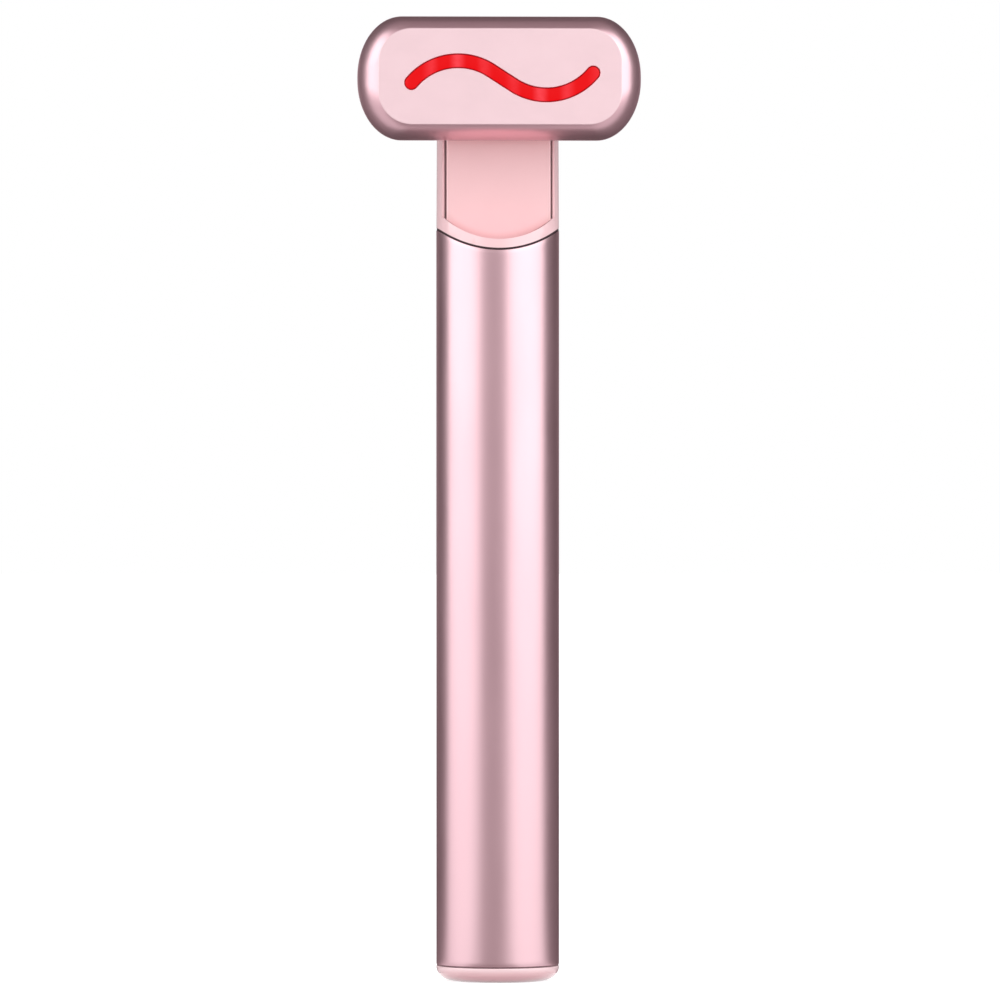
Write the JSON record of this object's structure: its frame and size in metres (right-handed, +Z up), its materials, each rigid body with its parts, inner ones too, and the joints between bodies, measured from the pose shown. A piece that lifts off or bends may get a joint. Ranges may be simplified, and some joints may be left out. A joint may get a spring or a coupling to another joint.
{
  "type": "vibrating facial wand",
  "caption": "T-shaped facial wand: a tilting head with a metal plate and a wavy red light on a round metal handle.",
  "frame": {"origin": "centre of the end cap's flat foot, on the handle's axis", "axes": "+Z up the handle, +X along the head to the viewer's right, -Y out of the treatment face"},
  "size_m": [0.0412, 0.0222, 0.1408],
  "materials": {
    "handle_metal": "satin rose anodised",
    "plate_metal": "pearl rose satin",
    "pink_plastic": "semi gloss pink",
    "dark_seal": "matte dark",
    "port_steel": "bright",
    "black_plastic": "matte",
    "clear_pipe": "frosted",
    "circuit_board": "green solder mask",
    "chip_black": "moulded",
    "battery_wrap": "shrink wrap",
    "foam": "foam",
    "lead_rubber": "insulation",
    "inner_plastic": "moulded",
    "screw_steel": "plain",
    "contact_brass": "plain",
    "switch_cream": "plain",
    "red_lens": "glowing red light guide",
    "lamp_red": "lamp package"
  },
  "bodies": {
    "handle": {"handle_tube": "handle_metal", "end_cap": "pink_plastic", "end_cap_seal": "dark_seal", "usb_port_shell": "port_steel", "usb_port_tongue": "black_plastic", "charge_light_pipe": "clear_pipe", "charge_board": "circuit_board", "charge_board_parts": "chip_black", "battery_cell": "battery_wrap", "battery_tabs": "port_steel", "battery_pads": "foam", "battery_leads": "lead_rubber", "inner_chassis": "inner_plastic", "chassis_screws": "screw_steel", "main_board": "circuit_board", "main_board_parts": "chip_black", "tube_contact_spring": "contact_brass", "motor_case": "port_steel", "motor_sleeve": "dark_seal", "neck_housing": "pink_plastic", "neck_panel": "pink_plastic", "neck_gasket": "dark_seal", "neck_leads": "lead_rubber", "switch_body": "black_plastic", "hinge_pins": "screw_steel", "hinge_washers": "black_plastic"},
    "head": {"head_back_cover": "pink_plastic", "head_gasket": "dark_seal", "head_screws": "screw_steel", "treatment_plate": "plate_metal", "light_guide": "red_lens", "led_board": "circuit_board", "red_leds": "lamp_red", "plate_contact_pins": "contact_brass", "head_leads": "lead_rubber"},
    "switch_plunger": {"switch_plunger": "switch_cream"},
    "motor_rotor": {"motor_shaft": "screw_steel", "eccentric_weight": "contact_brass"}
  },
  "joints": [
    {"name": "head_tilt", "type": "hinge", "parent": "handle", "child": "head", "pos_m": [0, 0, 0.1318], "axis": [-1, 0, 0], "range_deg": [0, 90]},
    {"name": "switch_press", "type": "slide", "parent": "handle", "child": "switch_plunger", "axis": [0, 0, -1], "range_m": [0, 0.0005]},
    {"name": "motor_spin", "type": "hinge", "parent": "handle", "child": "motor_rotor", "pos_m": [0, -0.0026, 0.085], "axis": [0, 0, 1], "continuous": true}
  ],
  "couplings": [
    {"joint": "switch_press", "follows": "head_tilt", "m_per_rad": 0.00031831}
  ]
}
